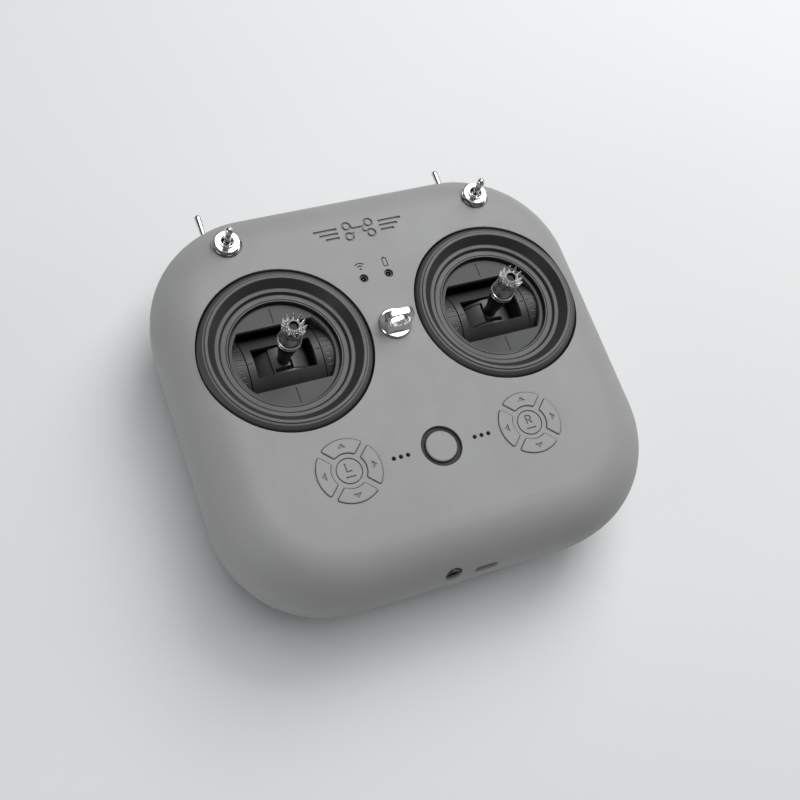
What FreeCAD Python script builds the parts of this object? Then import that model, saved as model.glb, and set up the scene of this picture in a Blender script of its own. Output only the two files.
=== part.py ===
import FreeCAD, Part
import os
from math import asin, cos, radians, sin, sqrt

# Hand-held radio transmitter with two sticks, four toggle switches, eight trim keys and
# a power button. Millimetres. X runs across, Y from the player towards the rear edge,
# Z up out of the face. The origin is on the flat underside, midway between the sticks.

V = FreeCAD.Vector
UP = V(0, 0, 1)
ORIGIN = V(0, 0, 0)

# Case outline, seen from above
HALF_WIDTH = 74.2
FRONT_Y = -82.6
REAR_Y = 54.0
FRONT_CORNER = 38.5
REAR_CORNER = 38.0

# Case section, from the face down to the underside
FACE_Z = 45.0
WIDE_Z = 29.0
TOP_ROUND = FACE_Z - WIDE_Z
SIDE_ROUND = 58.0
FOOT_ROUND = 13.0
WALL = 2.2
PARTING_Z = 16.0
LIP_HEIGHT = 2.0
LIP_GAP = 0.1
INNER_FACE_Z = FACE_Z - WALL
INNER_FLOOR_Z = WALL

# Stick units
STICK_X = 37.0
PIVOT_Z = 27.1
DRUM_RADIUS = 12.3
DRUM_HALF = 12.3
DRUM_WALL = 1.7
CHEEK_X = 12.6
CHEEK_END_X = 19.0
AXLE_RADIUS = 2.96
BEARING_BORE = 3.0
BEARING_RADIUS = 5.0
HUB_RADIUS = 10.2
HUB_HALF = 4.6
TRUNNION_RADIUS = 1.5
TRUNNION_HOLE = 1.55
FRAME_TOP_Z = 37.0
FRAME_PLATE = 1.8
FRAME_SCREW = 23.3
FRAME_EAR = 3.3
PLATE_SEAT_Z = 38.9
PLATE_TOP_Z = 40.45
PLATE_RIM_Z = 39.95
PLATE_RADIUS = 19.4
PLATE_MIDDLE = 17.65
OPENING_RADIUS = 16.6
OPENING_HALF = 10.7

# Bezel rings
BEZEL_RADIUS = 28.1
BEZEL_HOLE = 28.4
BEZEL_FLANGE = 29.6
BEZEL_RIDGE_Z = 46.1
COLLAR_RADIUS = 30.4
COLLAR_Z = 38.6

# Stick ends
STUD_RADIUS = 1.5
SHAFT_TOP_RADIUS = 3.3
LOCK_RING_Z = 50.3
LOCK_RING_RADIUS = 3.9
CROWN_Z = 52.5
CROWN_TOP_Z = 61.8
CROWN_RIM_RADIUS = 4.0
CUP_RADIUS = 2.1
CUP_Z = 59.6
NOTCH_Z = 57.6
CROWN_TEETH = 12

# Trim pads, each of four keys round a fixed centre
TRIM_X = 31.1
TRIM_Y = -43.9
TRIM_RING = (5.65, 10.57)
TRIM_STRIP = 0.92
KEY_GAP = 0.15
KEY_FLANGE = 0.65
KEY_CENTRE = 8.2
KEY_TOP_Z = FACE_Z + 0.4
KEY_ARROW = ((-1.35, 7.55), (1.35, 7.55), (0, 9.05))
KEY_TRAVEL_GAP = 0.5
KEY_NAMES = ("up", "left", "down", "right")

# Power button and its light ring
POWER_Y = -43.8
POWER_HOLE = 6.74
POWER_BUTTON = 5.1
LIGHT_RING_INNER = 5.35
LIGHT_RING_OUTER = 6.6
LIGHT_RING_TOP_Z = 44.0

# Round holes in the face
SOUND_HOLES_X = (11.5, 13.9, 16.3)
SOUND_HOLE_RADIUS = 0.7
LED_X = 4.4
LED_Y = 18.1
LED_HOLE = 1.5

# Toggle switches: two stand on the face, two point backwards out of the rear wall
FACE_TOGGLE = (44.4, 40.0)
FACE_TOGGLE_SEAT_Z = 44.3
REAR_TOGGLE_X = 45.1
REAR_TOGGLE_Z = 21.6
REAR_TOGGLE_SEAT_Y = 52.9
TOGGLE_PAD = 5.0
PAD_DEPTH = 5.1
SEAT_TO_BODY = 5.3
BUSH_RADIUS = 2.5
BUSH_BORE = 1.7
BUSH_END = 3.1
PIVOT_ABOVE_SEAT = 1.0
PIVOT_PIN = 0.6
PIVOT_PIN_HOLE = 0.62
PIVOT_PIN_HALF = 2.3
FACE_LEVER = (8.3, 1.35)
REAR_LEVER = (10.7, 1.2)
NUT_FLATS = 8.0
NUT_HEIGHT = 2.0
WASHER_HEIGHT = 0.5
WASHER_RADIUS = 4.2

# Neck strap hook: radius of its foot and height above the face
HOOK_FOOT = 5.3
HOOK_HEIGHT = 8.8

# Circuit board and what sits on it
BOARD_TOP_Z = 31.4
BOARD = 1.6
BOARD_BOTTOM_Z = BOARD_TOP_Z - BOARD
SWITCH_TOP_Z = 37.9
BOARD_SCREWS = ((20.0, -72.0), (-20.0, -72.0), (0.0, 26.0))
JACK_X = -7.3
JACK_Z = 34.1
JACK_BORE = 1.8
USB_X = 4.2
USB_Z = 32.65

# Case screws, driven from below
CASE_SCREWS = ((53.0, -57.0), (54.0, 31.0), (14.0, 38.0))
POST_RADIUS = 3.4
SCREW_RADIUS = 1.25
PILOT_RADIUS = 1.3
SCREW_HEAD_SEAT_Z = 5.0
SCREW_TIP_Z = 26.0

# Battery cell lying across the front of the case
CELL_RADIUS = 9.2
CELL_HALF = 32.5
CELL_Y = -62.0
CELL_Z = 12.4
HOLDER_BASE = (-66.0, -58.0)


def cylinder(radius, low, high, x=0.0, y=0.0):
    """Upright cylinder between two heights."""
    return Part.makeCylinder(radius, high - low, V(x, y, low), UP)


def cylinder_x(radius, x0, x1, y=0.0, z=0.0):
    return Part.makeCylinder(radius, x1 - x0, V(x0, y, z), V(1, 0, 0))


def cylinder_y(radius, y0, y1, x=0.0, z=0.0):
    return Part.makeCylinder(radius, y1 - y0, V(x, y0, z), V(0, 1, 0))


def block(x, y, z):
    """Box from three (low, high) pairs."""
    size = [pair[1] - pair[0] for pair in (x, y, z)]
    return Part.makeBox(size[0], size[1], size[2], V(x[0], y[0], z[0]))


def turned(profile, x=0.0, y=0.0):
    """Solid turned about an upright axis from (radius, height) points."""
    points = [V(radius, 0, height) for radius, height in profile]
    face = Part.Face(Part.makePolygon(points + points[:1]))
    solid = face.revolve(ORIGIN, UP, 360)
    solid.translate(V(x, y, 0))
    return solid


def prism(points, low, high):
    """Upright prism on a closed outline of (x, y) points."""
    corners = [V(x, y, low) for x, y in points]
    return Part.Face(Part.makePolygon(corners + corners[:1])).extrude(V(0, 0, high - low))


def rounded_plate(half_x, half_y, corner, low, high, x=0.0, y=0.0):
    """Upright plate with rounded corners, centred on x, y."""
    plate = block((x - half_x, x + half_x), (y - half_y, y + half_y), (low, high))
    uprights = [edge for edge in plate.Edges if abs(edge.BoundBox.ZLength - (high - low)) < 1e-6]
    return plate.makeFillet(corner, uprights)


def moved(shape, x=0.0, y=0.0, z=0.0):
    copy = shape.copy()
    copy.translate(V(x, y, z))
    return copy


def turned_about_z(shape, angle, x=0.0, y=0.0):
    copy = shape.copy()
    copy.rotate(V(x, y, 0), UP, angle)
    return copy


def mirrored(shape):
    """The same shape on the other side of the case."""
    return shape.mirror(ORIGIN, V(1, 0, 0))


def save(name, shape):
    shape.exportStep("parts/" + name + ".step")


def save_pair(name, right_shape):
    """Write the right-hand piece and its mirror image."""
    save("right_" + name, right_shape)
    save("left_" + name, mirrored(right_shape))


# ---------------------------------------------------------------- case shells

def edge_section(inset):
    """Section of the case edge: face round, gently curved side, foot round."""
    top, side, foot = TOP_ROUND - inset, SIDE_ROUND - inset, FOOT_ROUND - inset
    floor = inset
    angle = asin((WIDE_Z - foot - floor) / (side - foot))
    foot_y = side - (side - foot) * cos(angle)

    def on_arc(centre_y, centre_z, radius, turn):
        return V(0, centre_y - radius * cos(turn), centre_z + radius * sin(turn))

    start = V(0, top, WIDE_Z + top)
    widest = V(0, 0, WIDE_Z)
    side_end = on_arc(side, WIDE_Z, side, -angle)
    end = V(0, foot_y, floor)
    foot_middle = on_arc(foot_y, floor + foot, foot, -(angle + radians(90)) / 2)
    arcs = [
        Part.Arc(start, on_arc(top, WIDE_Z, top, radians(45)), widest),
        Part.Arc(widest, on_arc(side, WIDE_Z, side, -angle / 2), side_end),
        Part.Arc(side_end, foot_middle, end),
    ]
    return Part.Wire([arc.toShape() for arc in arcs]), foot_y


def corner_cores(inset):
    """Centre and radius of each corner, anticlockwise from the front right."""
    front, rear = FRONT_CORNER, REAR_CORNER
    return [
        (V(HALF_WIDTH - front, FRONT_Y + front, 0), front - inset),
        (V(HALF_WIDTH - rear, REAR_Y - rear, 0), rear - inset),
        (V(rear - HALF_WIDTH, REAR_Y - rear, 0), rear - inset),
        (V(front - HALF_WIDTH, FRONT_Y + front, 0), front - inset),
    ]


def flat_face(inset, height):
    """Flat top or bottom of the case, the outline drawn in by inset."""
    edges = []
    cores = corner_cores(inset)
    for index, (core, radius) in enumerate(cores):
        def rim(angle, centre=core, size=radius):
            turn = radians(angle)
            return centre + V(size * cos(turn), size * sin(turn), height)
        start = 90 * index - 90
        edges.append(Part.Arc(rim(start), rim(start + 45), rim(start + 90)).toShape())
        following, next_radius = cores[(index + 1) % 4]
        turn = radians(start + 90)
        far = following + V(next_radius * cos(turn), next_radius * sin(turn), height)
        edges.append(Part.makeLine(rim(start + 90), far))
    return Part.Face(Part.Wire(edges))


def pillow(inset):
    """Closed case form, every surface drawn in by the same distance."""
    section, foot_y = edge_section(inset)
    faces = []
    cores = corner_cores(inset)
    for index, (core, radius) in enumerate(cores):
        start = section.copy()
        start.translate(V(0, -radius, 0))
        start.rotate(ORIGIN, UP, 90 * index)
        start.translate(core)
        faces += start.revolve(core, UP, 90).Faces
        side = section.copy()
        side.translate(V(0, -radius, 0))
        side.rotate(ORIGIN, UP, 90 * index + 90)
        side.translate(core)
        run = cores[(index + 1) % 4][0] - core
        if index % 2:
            run = V(run.x, 0, 0)
        else:
            run = V(0, run.y, 0)
        faces += side.extrude(run).Faces
    faces.append(flat_face(TOP_ROUND, FACE_Z - inset))
    faces.append(flat_face(inset + foot_y, inset))
    shell = Part.makeShell(faces)
    shell.sewShape()
    return Part.makeSolid(shell)


def slab(low, high):
    """Everything between two heights."""
    return block((-100, 100), (-100, 100), (low, high))


def on_both_sides(points):
    return [(sign * x, y) for x, y in points for sign in (1, -1)]


def key_sector(strip, inner, outer, low, high):
    """Ring sector pointing to +Y, its sides parallel to the two diagonals."""
    ring = cylinder(outer, low, high).cut(cylinder(inner, low, high))
    wedge = block((0, 20), (0, 20), (low, high))
    wedge.rotate(ORIGIN, UP, 45)
    wedge.translate(V(0, strip * sqrt(2), 0))
    return ring.common(wedge)


def soften_uprights(shape, radius, low, high):
    uprights = []
    for edge in shape.Edges:
        straight = isinstance(edge.Curve, Part.Line)
        if straight and abs(edge.BoundBox.ZLength - (high - low)) < 1e-6:
            uprights.append(edge)
    return shape.makeFillet(radius, uprights)


def trim_hole():
    """Hole for one trim key, pointing to +Y."""
    low, high = INNER_FACE_Z - 1, FACE_Z + 1
    hole = key_sector(TRIM_STRIP, TRIM_RING[0], TRIM_RING[1], low, high)
    return soften_uprights(hole, 0.6, low, high)


def ring_groove(radius, width, depth, x, y):
    low = FACE_Z - depth
    outer = cylinder(radius + width / 2, low, FACE_Z + 1, x, y)
    return outer.cut(cylinder(radius - width / 2, low, FACE_Z + 1, x, y))


def stroke(x0, y0, x1, y1, width, depth=0.3):
    """Straight engraved line with square ends."""
    length = sqrt((x1 - x0) ** 2 + (y1 - y0) ** 2)
    line = block((0, length), (-width / 2, width / 2), (FACE_Z - depth, FACE_Z + 1))
    direction = V(x1 - x0, y1 - y0, 0)
    line.Placement = FreeCAD.Placement(V(x0, y0, 0), FreeCAD.Rotation(V(1, 0, 0), direction))
    return line


def arc_stroke(x, y, radius, width, half_angle, depth=0.3):
    """Engraved arc opening downwards, centred on the +Y direction."""
    arc = ring_groove(radius, width, depth, x, y)
    reach = 2 * radius + 1
    left = (x - reach * sin(radians(half_angle)), y + reach * cos(radians(half_angle)))
    right = (2 * x - left[0], left[1])
    wedge = prism([(x, y), right, (x, y + 2 * reach), left], FACE_Z - depth, FACE_Z + 1)
    return arc.common(wedge)


def side_letter(letter, x, y):
    """Plain engraved side mark in the middle of a trim pad."""
    strokes = [stroke(x - 0.8, y + 2.6, x - 0.8, y - 0.3, 0.4)]
    if letter == "L":
        strokes.append(stroke(x - 1.0, y - 0.1, x + 0.9, y - 0.1, 0.4))
    else:
        bowl = ring_groove(0.75, 0.4, 0.3, x + 0.1, y + 1.65)
        right_half = block((x + 0.1, x + 2), (y, y + 3), (FACE_Z - 1, FACE_Z + 2))
        strokes.append(bowl.common(right_half))
        strokes.append(stroke(x - 1.0, y + 2.4, x + 0.15, y + 2.4, 0.4))
        strokes.append(stroke(x - 1.0, y + 0.9, x + 0.15, y + 0.9, 0.4))
        strokes.append(stroke(x + 0.0, y + 0.9, x + 0.9, y - 0.25, 0.4))
    strokes.append(stroke(x - 1.6, y - 1.9, x + 1.6, y - 1.9, 0.45))
    return strokes


def face_marks():
    """Shallow marks engraved in the face."""
    marks = []
    for sign, letter in ((1, "R"), (-1, "L")):
        marks.append(ring_groove(4.1, 0.35, 0.35, sign * TRIM_X, TRIM_Y))
        marks += side_letter(letter, sign * TRIM_X, TRIM_Y)
    # Radio waves over the left lamp
    for radius in (1.1, 2.1):
        marks.append(arc_stroke(-LED_X, 21.6, radius, 0.4, 45))
    marks.append(cylinder(0.4, FACE_Z - 0.3, FACE_Z + 1, -LED_X, 21.5))
    # Battery outline over the right lamp
    marks.append(stroke(3.8, 20.9, 3.8, 23.8, 0.3))
    marks.append(stroke(5.2, 20.9, 5.2, 23.8, 0.3))
    marks.append(stroke(3.65, 20.9, 5.35, 20.9, 0.3))
    marks.append(stroke(3.65, 23.8, 5.35, 23.8, 0.3))
    marks.append(stroke(4.2, 24.15, 4.8, 24.15, 0.35))
    return marks


def drone_mark():
    """Plain four-rotor pictogram between two sets of lines, engraved near the rear edge."""
    middle_y, depth = 36.0, 0.5
    marks = [rounded_plate(1.7, 1.2, 0.8, FACE_Z - depth, FACE_Z + 1, 0, middle_y)]
    for across in (1, -1):
        for along in (1, -1):
            x, y = 3.9 * across, middle_y + 2.0 * along
            marks.append(stroke(0, middle_y, x - 0.9 * across, y - 0.5 * along, 0.75, depth))
            ring = cylinder(1.7, FACE_Z - depth, FACE_Z + 1, x, y)
            marks.append(ring.cut(cylinder(0.95, FACE_Z - depth, FACE_Z + 1, x, y)))
        for line, end in ((1.7, 15.6), (0.0, 13.9), (-1.7, 12.2)):
            y = middle_y + line
            marks.append(stroke(7.4 * across, y, end * across, y, 0.85, depth))
    return marks


def toggle_seats():
    """Thick flat pads under the toggle nuts, with their bush holes."""
    pads, cuts = [], []
    x, y = FACE_TOGGLE
    seat, z = FACE_TOGGLE_SEAT_Z, REAR_TOGGLE_Z
    rear = REAR_TOGGLE_SEAT_Y
    pads.append(cylinder(TOGGLE_PAD, seat - PAD_DEPTH, seat, x, y))
    pads.append(cylinder_y(TOGGLE_PAD, rear - PAD_DEPTH, rear, REAR_TOGGLE_X, z))
    cuts.append(cylinder(TOGGLE_PAD, seat, FACE_Z + 2, x, y))
    cuts.append(cylinder(BUSH_RADIUS + 0.05, 30, FACE_Z + 2, x, y))
    cuts.append(cylinder_y(TOGGLE_PAD, rear, REAR_Y + 4, REAR_TOGGLE_X, z))
    cuts.append(cylinder_y(BUSH_RADIUS + 0.05, 40, REAR_Y + 4, REAR_TOGGLE_X, z))
    return pads + [mirrored(p) for p in pads], cuts + [mirrored(c) for c in cuts]


def top_case():
    """Upper shell: face, sides, every opening, posts and bosses."""
    outer = pillow(0)
    shell = outer.cut(pillow(WALL)).common(slab(PARTING_Z, FACE_Z + 1))
    rebate = pillow(WALL - 1.1).common(slab(PARTING_Z - 1, PARTING_Z + LIP_HEIGHT + 0.2))
    shell = shell.cut(rebate)
    pads, cuts = toggle_seats()

    bosses = []
    for x, y in on_both_sides(CASE_SCREWS):
        bosses.append(cylinder(POST_RADIUS, PARTING_Z, FACE_Z, x, y))
        cuts.append(cylinder(PILOT_RADIUS, PARTING_Z - 1, SCREW_TIP_Z + 1, x, y))
    for x, y in BOARD_SCREWS:
        bosses.append(cylinder(2.4, BOARD_TOP_Z, FACE_Z, x, y))
        cuts.append(cylinder(1.05, BOARD_TOP_Z - 1, 37.5, x, y))
    for sign in (1, -1):
        collar = cylinder(COLLAR_RADIUS, COLLAR_Z, FACE_Z, sign * STICK_X)
        bosses.append(collar)
        cuts.append(cylinder(BEZEL_HOLE, COLLAR_Z - 1, FACE_Z + 2, sign * STICK_X))
        for x in (-FRAME_SCREW, FRAME_SCREW):
            for y in (-FRAME_SCREW, FRAME_SCREW):
                bosses.append(cylinder(3.0, FRAME_TOP_Z, FACE_Z, sign * STICK_X + x, y))
                cuts.append(cylinder(1.05, FRAME_TOP_Z - 1, 41.5, sign * STICK_X + x, y))
        for hole_x in SOUND_HOLES_X:
            cuts.append(cylinder(SOUND_HOLE_RADIUS, 40, 47, sign * hole_x, POWER_Y))
        cuts.append(cylinder(LED_HOLE, 40, 47, sign * LED_X, LED_Y))
        hole = trim_hole()
        for turn in range(4):
            cuts.append(moved(turned_about_z(hole, 90 * turn), sign * TRIM_X, TRIM_Y))
    inside = outer.common(slab(PARTING_Z, FACE_Z + 1))
    shell = shell.fuse([piece.common(inside) for piece in bosses]).fuse(pads)
    cuts.append(cylinder(POWER_HOLE, 40, 47, 0, POWER_Y))
    cuts.append(cylinder(1.5, 40, 47))
    cuts.append(cylinder_y(2.9, FRONT_Y - 1, FRONT_Y + 5.5, JACK_X, JACK_Z))
    cuts.append(usb_slot(4.0, 1.5, FRONT_Y - 1, FRONT_Y + 3.2))
    return shell.cut(cuts + face_marks() + drone_mark())


def usb_slot(half_width, half_height, y0, y1):
    """Slot with round ends, through the front wall."""
    straight = half_width - half_height
    low, high = USB_Z - half_height, USB_Z + half_height
    slot = block((USB_X - straight, USB_X + straight), (y0, y1), (low, high))
    for x in (USB_X - straight, USB_X + straight):
        slot = slot.fuse(cylinder_y(half_height, y0, y1, x, USB_Z))
    return slot


def bottom_case():
    """Lower shell with its lip, screw posts and cell cradle ribs."""
    outer = pillow(0)
    shell = outer.cut(pillow(WALL)).common(slab(-1, PARTING_Z))
    lip = pillow(WALL - 1.1 + LIP_GAP).cut(pillow(WALL))
    shell = shell.fuse(lip.common(slab(PARTING_Z - 0.5, PARTING_Z + LIP_HEIGHT)))
    for sign in (1, -1):
        middle = sign * REAR_TOGGLE_X
        shell = shell.cut(block((middle - 6, middle + 6), (44, 56), (PARTING_Z, 20)))
    shadow_line = slab(PARTING_Z - 0.45, PARTING_Z).cut(pillow(0.35))
    shell = shell.cut(shadow_line)
    inside = outer.common(slab(0, PARTING_Z))
    posts, cuts = [], []
    for x, y in on_both_sides(CASE_SCREWS):
        posts.append(cylinder(POST_RADIUS, 0, PARTING_Z, x, y).common(inside))
        cuts.append(cylinder(1.5, -1, PARTING_Z + 1, x, y))
        cuts.append(cylinder(2.9, -1, SCREW_HEAD_SEAT_Z, x, y))
    for x in (-20.0, 20.0):
        rib = block((x - 1, x + 1), (-70, -53), (0, 9)).common(inside)
        rib = rib.cut(block((x - 1, x + 1), HOLDER_BASE, (INNER_FLOOR_Z, 9)))
        posts.append(rib.cut(cylinder_x(CELL_RADIUS + 0.3, -40, 40, CELL_Y, CELL_Z)))
    return shell.fuse(posts).cut(cuts)


def case_screws():
    """Six pan-head screws."""
    screws = []
    for x, y in on_both_sides(CASE_SCREWS):
        head = cylinder(2.5, SCREW_HEAD_SEAT_Z - 1.8, SCREW_HEAD_SEAT_Z, x, y)
        shank = cylinder(SCREW_RADIUS, SCREW_HEAD_SEAT_Z, SCREW_TIP_Z, x, y)
        low = SCREW_HEAD_SEAT_Z - 3
        cross = block((x - 1.5, x + 1.5), (y - 0.3, y + 0.3), (low, low + 2.1))
        screw = head.fuse(shank).cut([cross, turned_about_z(cross, 90, x, y)])
        screws.append(screw.removeSplitter())
    return Part.makeCompound(screws)


# ---------------------------------------------------------------- neck strap hook

def neck_strap_hook():
    """Cast loop: a fin that tapers upward from a round foot, its slot running through along Y."""
    foot = turned([(0, FACE_Z), (HOOK_FOOT, FACE_Z), (HOOK_FOOT, FACE_Z + 0.6),
                   (HOOK_FOOT - 0.3, FACE_Z + 0.9), (0, FACE_Z + 0.9)])
    low, top = FACE_Z + 0.5, FACE_Z + HOOK_HEIGHT
    half = HOOK_FOOT - 0.25
    side = [V(-half, -3.7, low), V(-half, 3.7, low), V(-half, 1.5, top), V(-half, -1.5, top)]
    fin = Part.Face(Part.makePolygon(side + side[:1])).extrude(V(2 * half, 0, 0))
    arch = block((-half, half), (-5, 5), (low - 1, top))
    corners = [edge for edge in arch.Edges if edge.BoundBox.YLength > 9 and edge.BoundBox.ZMin > low]
    fin = fin.common(arch.makeFillet(2.8, corners)).common(cylinder(half, low, top))
    slot_low, slot_high = FACE_Z + 3.6, FACE_Z + 8.0
    end_radius = (slot_high - slot_low) / 2
    slot = block((-1.6, 1.6), (-5, 5), (slot_low, slot_high))
    for x in (-1.6, 1.6):
        slot = slot.fuse(cylinder_y(end_radius, -5, 5, x, (slot_low + slot_high) / 2))
    hook = foot.fuse(fin).cut(slot)
    return hook.cut(cylinder(1.45, FACE_Z - 1, FACE_Z + 1.0)).removeSplitter()


def hook_screw():
    head = cylinder(2.8, INNER_FACE_Z - 1.6, INNER_FACE_Z)
    screw = head.fuse(cylinder(1.4, INNER_FACE_Z, FACE_Z + 0.9))
    return screw.removeSplitter()


# ---------------------------------------------------------------- stick units, right side

def bezel():
    """Stepped ring: outer shoulder, two ridges and the slopes between them."""
    profile = [
        (18.15, PLATE_RIM_Z), (18.15, 42.05), (18.3, 42.2), (18.6, 42.2), (18.6, 42.0),
        (18.85, 42.0), (18.85, 42.2), (20.5, 42.2),
        (21.0, 43.2), (22.3, 43.2), (24.5, 45.9), (24.7, BEZEL_RIDGE_Z),
        (25.6, BEZEL_RIDGE_Z), (25.75, 45.8), (26.5, 45.7), (27.5, 45.0), (BEZEL_RADIUS, 43.6),
        (BEZEL_RADIUS, COLLAR_Z), (BEZEL_FLANGE, COLLAR_Z), (BEZEL_FLANGE, FRAME_TOP_Z),
        (PLATE_RADIUS + 0.1, FRAME_TOP_Z), (PLATE_RADIUS + 0.1, PLATE_RIM_Z),
    ]
    return turned(profile, STICK_X)


def plate_opening(low, high):
    """Opening of the face plate: a circle cut by two straight sides."""
    circle = cylinder(OPENING_RADIUS, low, high)
    return circle.common(block((-20, 20), (-OPENING_HALF, OPENING_HALF), (low, high)))


def face_plate():
    """Disc over the stick unit: a raised middle with a centre line above and below the opening."""
    plate = cylinder(PLATE_RADIUS, PLATE_SEAT_Z, PLATE_TOP_Z)
    plate = plate.cut(plate_opening(PLATE_SEAT_Z - 1, PLATE_TOP_Z + 1))
    for sign in (1, -1):
        line = block((-0.15, 0.15), (11.6, 16.7), (PLATE_TOP_Z - 0.25, PLATE_TOP_Z + 1))
        plate = plate.cut(line if sign > 0 else line.mirror(ORIGIN, V(0, 1, 0)))
    above_rim = cylinder(PLATE_RADIUS + 1, PLATE_RIM_Z, PLATE_TOP_Z + 1)
    above_rim = above_rim.cut(cylinder(PLATE_MIDDLE, PLATE_RIM_Z, PLATE_TOP_Z + 1))
    return moved(plate.cut(above_rim), STICK_X)


def gimbal_frame():
    """Frame of one stick unit: mounting plate, plate seat and two bearing cheeks."""
    low = FRAME_TOP_Z - FRAME_PLATE
    half = FRAME_SCREW + FRAME_EAR
    frame = rounded_plate(half, half, FRAME_EAR, low, FRAME_TOP_Z)
    frame = frame.fuse(cylinder(PLATE_RADIUS, low, PLATE_SEAT_Z))
    well = block((-CHEEK_X, CHEEK_X), (-13.2, 13.2), (0, 50))
    cuts = [well, plate_opening(low - 1, PLATE_SEAT_Z + 1)]
    for x in (-FRAME_SCREW, FRAME_SCREW):
        for y in (-FRAME_SCREW, FRAME_SCREW):
            cuts.append(cylinder(1.3, 30, 40, x, y))
    frame = frame.cut(cuts)
    cheeks, bores = [], []
    for x0, x1 in ((CHEEK_X, CHEEK_END_X), (-CHEEK_END_X, -CHEEK_X)):
        crest = cylinder_x(DRUM_RADIUS - 0.1, x0, x1, 0, PIVOT_Z)
        dome = crest.common(cylinder(OPENING_RADIUS - 0.1, PIVOT_Z, 45))
        web = block((x0, x1), (-13.2, 13.2), (PIVOT_Z - 8, low))
        cheeks += [dome, web]
        bores.append(cylinder_x(BEARING_RADIUS, x0 - 1, x1 - 1.5, 0, PIVOT_Z))
        bores.append(cylinder_x(BEARING_RADIUS, x0 + 1.5, x1 + 1, 0, PIVOT_Z))
    frame_marks = scale_ticks()
    tie = [block((-CHEEK_END_X, CHEEK_END_X), (y, y + 2.6), (PIVOT_Z - 8, low))
           for y in (-16.0, 13.4)]
    frame = frame.fuse(cheeks + tie).cut(bores + frame_marks)
    return moved(frame.removeSplitter(), STICK_X)


def scale_ticks():
    """Angle marks engraved across the tops of both cheeks, the middle one longest."""
    ticks = []
    for step in range(-4, 5):
        length = 3.0 if step == 0 else 1.9
        for side in (1, -1):
            near, far = sorted((side * 13.3, side * (13.3 + length)))
            crest = DRUM_RADIUS - 0.1
            tick = block((near, far), (-0.2, 0.2), (crest - 0.3, crest + 1))
            tick.rotate(ORIGIN, V(1, 0, 0), 9 * step)
            ticks.append(moved(tick, 0, 0, PIVOT_Z))
    return ticks


def pitch_bearings():
    """Plain bearing bushes for the drum axles, four in all."""
    bushes = []
    for x0 in (CHEEK_X + 1.0, -CHEEK_END_X + 1.0):
        ring = cylinder_x(BEARING_RADIUS, x0, x0 + 4.4, 0, PIVOT_Z)
        ring = ring.cut(cylinder_x(BEARING_BORE, x0 - 1, x0 + 6, 0, PIVOT_Z))
        bushes.append(moved(ring, STICK_X))
    return Part.makeCompound(bushes + [mirrored(bush) for bush in bushes])


def gimbal_screws():
    """Four screws in each stick unit, driven up into the top case."""
    screws = []
    low = FRAME_TOP_Z - FRAME_PLATE
    for x in (-FRAME_SCREW, FRAME_SCREW):
        for y in (-FRAME_SCREW, FRAME_SCREW):
            head = cylinder(2.2, low - 1.5, low, STICK_X + x, y)
            screw = head.fuse(cylinder(1.0, low, 41.0, STICK_X + x, y)).removeSplitter()
            screws += [screw, mirrored(screw)]
    return Part.makeCompound(screws)


def pitch_drum():
    """Drum that tips fore and aft: shell, end discs, axle stubs and trunnion blocks."""
    drum = cylinder_x(DRUM_RADIUS, -DRUM_HALF, DRUM_HALF)
    inner = DRUM_RADIUS - DRUM_WALL
    drum = drum.cut(cylinder_x(inner, -DRUM_HALF + 1.5, DRUM_HALF - 1.5))
    drum = drum.cut(block((-9.9, 9.9), (-5, 5), (7, 14)))
    for y0, y1 in ((5.2, 11.0), (-11.0, -5.2)):
        drum = drum.fuse(block((-4, 4), (y0, y1), (-4, 4)))
    drum = drum.cut(cylinder_y(TRUNNION_HOLE, -10.6, 10.6))
    # Index marks beside the window, one at each end
    for x0, x1 in ((10.6, 12.0), (-12.0, -10.6)):
        drum = drum.cut(block((x0, x1), (-0.15, 0.15), (DRUM_RADIUS - 0.3, 14)))
    axle = cylinder_x(AXLE_RADIUS, -18.5, 21.0)
    axle = axle.cut(cylinder_x(inner, -DRUM_HALF + 1.5, DRUM_HALF - 1.5))
    cam = cylinder_x(4.6, 19.3, 21.0)
    cam = cam.fuse(block((19.3, 21.0), (0, 9.0), (-1.5, 1.5)))
    return moved(drum.fuse([axle, cam]).removeSplitter(), STICK_X, 0, PIVOT_Z)


def roll_hub():
    """Hub that tips side to side inside the drum; the stick stands in its bore."""
    hub = cylinder_y(HUB_RADIUS, -HUB_HALF, HUB_HALF)
    hub = hub.cut(block((-12, 12), (-12, 12), (-12, -3.5)))
    hub = hub.cut([
        hub_groove((-12, -2.6), (3.3, 3.6), 0.8),
        hub_groove((-12, -2.6), (-3.7, -3.4), 0.8),
        hub_groove((-2.6, -1.8), (-3.7, 3.6), 2.6),
        hub_groove((-1.8, 3.4), (-4.0, -2.6), 2.6),
        hub_groove((4.0, 12), (-5, 5), 0.9),
    ])
    hub = hub.fuse(cylinder_y(TRUNNION_RADIUS, -10.3, 10.3))
    hub = hub.cut(cylinder(STUD_RADIUS, 0, 12))
    return moved(hub.removeSplitter(), STICK_X, 0, PIVOT_Z)


def hub_groove(x, y, depth):
    """Groove of even depth in the round top of the hub."""
    skin = cylinder_y(HUB_RADIUS + 1, -6, 6).cut(cylinder_y(HUB_RADIUS - depth, -7, 7))
    return skin.common(block(x, y, (2, 13)))


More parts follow.
